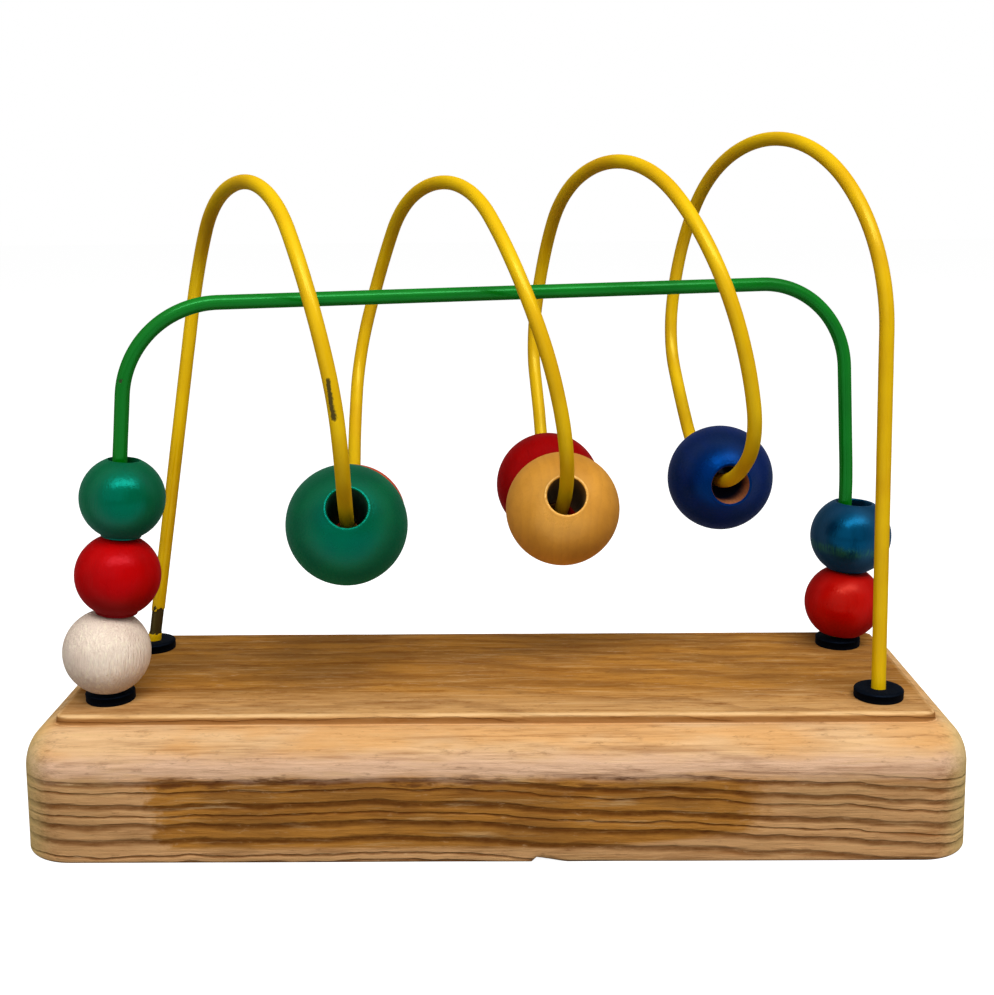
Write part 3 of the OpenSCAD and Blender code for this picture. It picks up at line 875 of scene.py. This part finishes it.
def seen_on(rings, pixel):
    """The point of a wire that the photograph shows at a pixel, on the side to the camera."""
    near = min(rings, key=lambda ring: (pixel_of(ring[0]) - Vector(pixel)).length)
    ahead = (near[0] - CAMERA_AT).length
    point = CAMERA_AT + pixel_ray(pixel) * ahead - near[0]
    point -= point.dot(near[1]) * near[1]
    gap = math.sqrt(max(WIRE_R ** 2 - min(point.length, WIRE_R) ** 2, 0))
    return near[0] + point + unit(CAMERA_AT - near[0]) * gap


# Marks on the wires, where the photograph shows them, with their radii in millimetres
SCRATCH = ((327.5, 379), (328.5, 388), (330.5, 401), (333.5, 414), (335, 424))
SCRATCH_R = (0.8, 0.95, 1.1, 0.95)
PIT, PIT_RUN, PIT_R = (245, 180.5), Vector((0.6, 0, 0)), 1.2
NICK, NICK_RUN, NICK_R = (120, 380), Vector((0.5, 0, 0.3)), 0.6


def yellow_wire():
    rings = wire_rings("yellow", directed(yellow_nodes()), BARE_LEG_STEP)
    scratch = [seen_on(rings, pixel) for pixel in SCRATCH]
    pit = seen_on(rings, PIT)
    chips = [*zip(scratch, scratch[1:], SCRATCH_R), (pit, pit + PIT_RUN, PIT_R)]
    coat = coating("yellow_coat", (230, 186, 2), (214, 164, 2), (255, 244, 110), chips)
    settle(wire("yellow_track_wire", rings, coat), "frame", "yellow_wire")


def green_wire():
    rings = wire_rings("green", green_nodes(), LEG_STEP)
    nick = seen_on(rings, NICK)
    chips = [(nick, nick + NICK_RUN, NICK_R)]
    coat = coating("green_coat", (0, 110, 12), (0, 94, 6), (110, 255, 150), chips)
    settle(wire("green_arch_wire", rings, coat), "frame", "green_wire")


# Washers
# Where a washer's top begins to fall off, and how far from its bore the bore's lean is felt
WASHER_CROWN_R, WASHER_LEANING = 5.2, 1.5


def washer(leg, place, material):
    """A black washer with rounded rims, whose bore follows its wire's lean."""
    profile = eased([
        ((WASHER_BORE_R, 0.02), 0.15),
        ((WASHER_R, 0.02), 0.4),
        ((WASHER_R, WASHER_H - 0.55), 0),
        ((WASHER_R - 0.12, WASHER_H - 0.06), 0.75),
        ((WASHER_CROWN_R, WASHER_H), 0.6),
        ((WASHER_BORE_R, WASHER_H - 0.1), 0.35),
    ])
    points, faces = lathe(profile)
    lean = LEANS[leg] / LEANS[leg].z
    leaning = []
    for p in map(Vector, points):
        share = max(0, 1 - (p.to_2d().length - WASHER_BORE_R) / WASHER_LEANING)
        leaning.append(p + Vector((lean.x, lean.y, 0)) * p.z * share)
    at = Matrix.Translation(FEET[leg] * MM)
    made = piece("black_washer_" + place, leaning, faces, material, at)
    settle(made, "frame", "washer_" + place)


def washers():
    material = black_plastic()
    for leg, place in WASHERS.items():
        washer(leg, place, material)


# Beads
RIM_EASE, MOUTH_EASE = 0.35, 0.5
BALL_ROWS, BORE_ROWS = 56, 12
# The bore's radius where it closes in on its wire, and how much of half the bore that takes
SNUG_R, SNUG_SHARE = 2.75, 0.4
# Waves per millimetre and depth of a bead's unevenness, as a share of its radius
TURNED_WOBBLE = (0.09, 0.006)


class Ball:
    """A bead's place, read from its CAD node: its middle, bore axis and radii."""

    def __init__(self, node):
        low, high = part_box(node)
        self.centre = (low + high) / 2 / MM
        corners = np.array([v.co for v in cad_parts[node].data.vertices]) / MM
        corners = corners - np.array(self.centre)
        away = np.linalg.norm(corners, axis=1)
        # The mouths of the bore are nearest to the middle, and most spread out along the axis
        mouth = corners[away < away.min() + 0.05]
        axis = np.linalg.eigh(mouth.T @ mouth)[1][:, -1]
        # It points up, or to the back where it is level
        self.axis = Vector(axis * np.sign(axis[2] + 1e-3 * axis[1]))
        self.half = float(np.abs(mouth @ axis).mean())
        self.bore_r = math.sqrt(float(away.min()) ** 2 - self.half ** 2)
        self.ball_r = float(away.max())
        self.rim_r = math.sqrt(self.ball_r ** 2 - self.half ** 2)
        turn = self.axis.to_track_quat("Z", "Y").to_matrix().to_4x4()
        self.place = Matrix.Translation(self.centre * MM) @ turn


def on_leg(foot, lean):
    """A call that gives the point of a straight leg nearest to a place."""
    way = unit(lean)
    return lambda place: foot + way * (place - foot).dot(way)


def on_dip(dip):
    """A call that gives the point of a dip's true arc nearest to a place in its plane."""
    low, r, _, _ = dip
    middle = above(low) + Vector((0, 0, r))
    return lambda place: middle + unit(place - middle) * r


def snug(ball, wire_near, share, p):
    """Moves a point of a bore, by a share, to where the bore closes in on its wire."""
    on_axis = ball.centre + ball.axis * p.z
    wire_at = ball.place.to_3x3().inverted() @ (wire_near(on_axis) - on_axis)
    flat = Vector((p.x, p.y, 0))
    out = flat.normalized() * (SNUG_R + flat.length - ball.bore_r)
    return p.lerp(Vector((wire_at.x, wire_at.y, p.z)) + out, share)


def bead_profile(ball, neck, mouth_ease):
    """A ball with a small flat round each mouth and eased rims, and its bore."""
    rim_r, bore_r, half = ball.rim_r, ball.bore_r, ball.half
    rim_ease = min(RIM_EASE, (rim_r - bore_r) * 0.45)
    profile = [((bore_r, half), mouth_ease)]
    for k in range(1, BORE_ROWS):
        profile.append(((bore_r, half * (1 - 2 * k / BORE_ROWS)), 0))
    profile.append(((bore_r, -half), mouth_ease))
    profile.append(((max(rim_r, neck), -half), rim_ease))
    tilt = math.asin(half / ball.ball_r)
    for k in range(1, BALL_ROWS):
        a = -tilt + 2 * tilt * k / BALL_ROWS
        r = max(ball.ball_r * math.cos(a), neck if a < 0 else 0)
        profile.append(((r, ball.ball_r * math.sin(a)), 0))
    profile.append(((rim_r, half), rim_ease))
    return eased(profile)


def bead_mesh(ball, neck=0, wire_near=None, close_from=0):
    """A turned bead, slightly uneven.

    neck is the least radius of its lower flat. Where the bore closes in on its wire, wire_near
    gives the wire's place, and close_from where that starts, as a share of half the bore.
    """
    mouth_ease = min(MOUTH_EASE, (ball.rim_r - ball.bore_r) * 0.5)
    points, faces = lathe(bead_profile(ball, neck, mouth_ease))
    made = []
    for p in map(Vector, points):
        from_bore = p.to_2d().length - ball.bore_r
        if p.length > ball.rim_r + 2 and from_bore > 1:
            p *= 1 - uneven(p, *TURNED_WOBBLE)
        elif wire_near and from_bore < mouth_ease + 0.01:
            share = min(1, max(0, (close_from - p.z / ball.half) / SNUG_SHARE))
            p = snug(ball, wire_near, share, p)
        made.append(p)
    return made, faces


# Each bead's piece, body and slot
BEADS = (
    ("white_bead", "left_white", "paint_white"),
    ("red_bead_left", "left_red", "paint_red"),
    ("green_bead_left", "left_green", "paint_green"),
    ("red_bead_right", "right_red", "paint_orange_red"),
    ("blue_bead_right", "right_blue", "paint_blue"),
    ("green_bead_front", "dip1_green", "paint_green"),
    ("orange_bead_rear", "dip1_orange", "paint_orange"),
    ("natural_bead_front", "dip2_natural", "bare_wood"),
    ("red_bead_rear", "dip2_red", "paint_deep_red"),
    ("blue_bead_front", "dip3_blue", "paint_deep_blue"),
)
TEAL, ROSE = (20, 245, 222), (255, 84, 100)
# The painted beads' paints, by body, as paint() takes them. foot is painted shade on the lower
# side
PAINTS = {
    # The white's bright flecks are painted glints
    "left_white": dict(
        name="paint_white", colour=(242, 222, 204), deep=(228, 204, 186), glint=(255, 248, 220),
        level=1.0, relief=0.7, foot=0.3, flecks=(255, 244, 214),
    ),
    "left_red": dict(
        name="paint_red", colour=(182, 0, 0), deep=(164, 0, 0), glint=ROSE, level=0.36, foot=0.6,
    ),
    "left_green": dict(
        name="paint_green", colour=(0, 68, 27), deep=(0, 56, 21), glint=TEAL,
        level=0.65, foot=0.8,
    ),
    "right_red": dict(
        name="paint_orange_red", colour=(182, 3, 0), deep=(164, 1, 0), glint=(255, 110, 90),
        level=0.5, foot=0.3,
    ),
    "right_blue": dict(
        name="paint_blue", colour=(0, 23, 43), deep=(0, 16, 30), glint=(30, 180, 255),
        level=0.8, foot=0.7, band=(44, 92, 40),
    ),
    # Its bore's dark brown wood is painted shade
    "dip1_green": dict(
        name="paint_green_large", colour=(0, 66, 24), deep=(0, 54, 18), glint=TEAL,
        level=0.65, bore=(1, (36, 20, 10)),
    ),
    "dip1_orange": dict(
        name="paint_orange", colour=(206, 84, 48), deep=(184, 62, 34), glint=(255, 190, 160),
    ),
    "dip2_red": dict(
        name="paint_deep_red", colour=(152, 0, 0), deep=(134, 0, 0), glint=ROSE, level=0.26,
    ),
    "dip3_blue": dict(
        name="paint_deep_blue", colour=(0, 10, 54), deep=(0, 5, 28), glint=(0, 125, 255),
        level=0.62, bore=(0.8, (222, 138, 62)),
    ),
}
# The beads whose shapes are more than plain, by body, as bead_mesh() takes them
SHAPES = {
    "left_white": dict(wire_near=on_leg(FEET["green_left"], LEANS["green_left"]), close_from=9),
    "left_red": dict(neck=6.2),
    "left_green": dict(neck=5.9),
    "dip3_blue": dict(wire_near=on_dip(DIP_3), close_from=0.15),
}


def beads():
    for name, body, slot in BEADS:
        node = "bead_" + body
        ball = Ball(node)
        points, faces = bead_mesh(ball, **SHAPES.get(body, {}))
        material = paint(ball, **PAINTS[body]) if body in PAINTS else varnish(ball)
        settle(piece(name, points, faces, material, ball.place), body, node)


# Studio
FLOOR_HALF = 6
# What the floor gives back to the object's undersides
FLOOR_TONE = 0.14
# What the camera sees of the floor: a white glow, and a little true shading for the shadow
FLOOR_GLOW, FLOOR_SHADED = 0.9, 0.6
SKY = 0.15
LAMP_AIM = Vector((0, 0, 90))
KEY_AT, KEY_SIZE, KEY_WATTS = Vector((190, -540, 910)), (1.15, 0.3), 10.8
FILL_AT, FILL_SIZE, FILL_WATTS = Vector((-260, -960, 600)), (1.4, 1.0), 3.3


def lamp(name, at, size, watts):
    light = bpy.data.lights.new(name, "AREA")
    light.shape = "RECTANGLE"
    light.size, light.size_y = size
    light.energy = watts
    made = bpy.data.objects.new(name, light)
    made.location = at * MM
    made.rotation_euler = (LAMP_AIM - at).to_track_quat("-Z", "Y").to_euler()
    bpy.context.collection.objects.link(made)


def grey(value):
    return (value, value, value, 1)


def sky():
    world = bpy.data.worlds.new("studio")
    nodes = Nodes(world)
    plain = nodes.node("ShaderNodeBackground", {"Color": grey(1), "Strength": SKY})
    seen = nodes.node("ShaderNodeBackground", {"Color": grey(1)})
    nodes.node("ShaderNodeOutputWorld", {"Surface": nodes.seen_or_plain(seen, plain)})
    bpy.context.scene.world = world


def floor_material():
    material = bpy.data.materials.new("floor_pale")
    nodes = Nodes(material)
    plain = nodes.node("ShaderNodeBsdfDiffuse", {"Color": grey(FLOOR_TONE)})
    shaded = nodes.node("ShaderNodeBsdfDiffuse", {"Color": grey(FLOOR_SHADED)})
    glow = nodes.node("ShaderNodeEmission", {"Strength": FLOOR_GLOW})
    seen = nodes.node("ShaderNodeAddShader", {0: shaded.outputs[0], 1: glow.outputs[0]})
    nodes.node("ShaderNodeOutputMaterial", {"Surface": nodes.seen_or_plain(seen, plain)})
    return material


def floor():
    mesh = bpy.data.meshes.new("floor")
    far = FLOOR_HALF
    corners = [(-far, -far, 0), (far, -far, 0), (far, far, 0), (-far, far, 0)]
    mesh.from_pydata(corners, [], [(0, 1, 2, 3)])
    mesh.materials.append(floor_material())
    made = bpy.data.objects.new("floor", mesh)
    bpy.context.collection.objects.link(made)


def camera():
    data = bpy.data.cameras.new("camera")
    data.sensor_width = SENSOR_MM
    data.lens = FOCAL_PX * SENSOR_MM / IMAGE_H
    data.clip_end = 100
    made = bpy.data.objects.new("camera", data)
    made.matrix_world = Matrix((
        (RIGHT.x, UP.x, -FORWARD.x, CAMERA_AT.x * MM),
        (RIGHT.y, UP.y, -FORWARD.y, CAMERA_AT.y * MM),
        (RIGHT.z, UP.z, -FORWARD.z, CAMERA_AT.z * MM),
        (0, 0, 0, 1),
    ))
    bpy.context.collection.objects.link(made)
    bpy.context.scene.camera = made


bpy.context.scene.view_settings.view_transform = "Standard"
camera()
sky()
floor()
lamp("key", KEY_AT, KEY_SIZE, KEY_WATTS)
lamp("fill", FILL_AT, FILL_SIZE, FILL_WATTS)
plank()
yellow_wire()
green_wire()
washers()
beads()
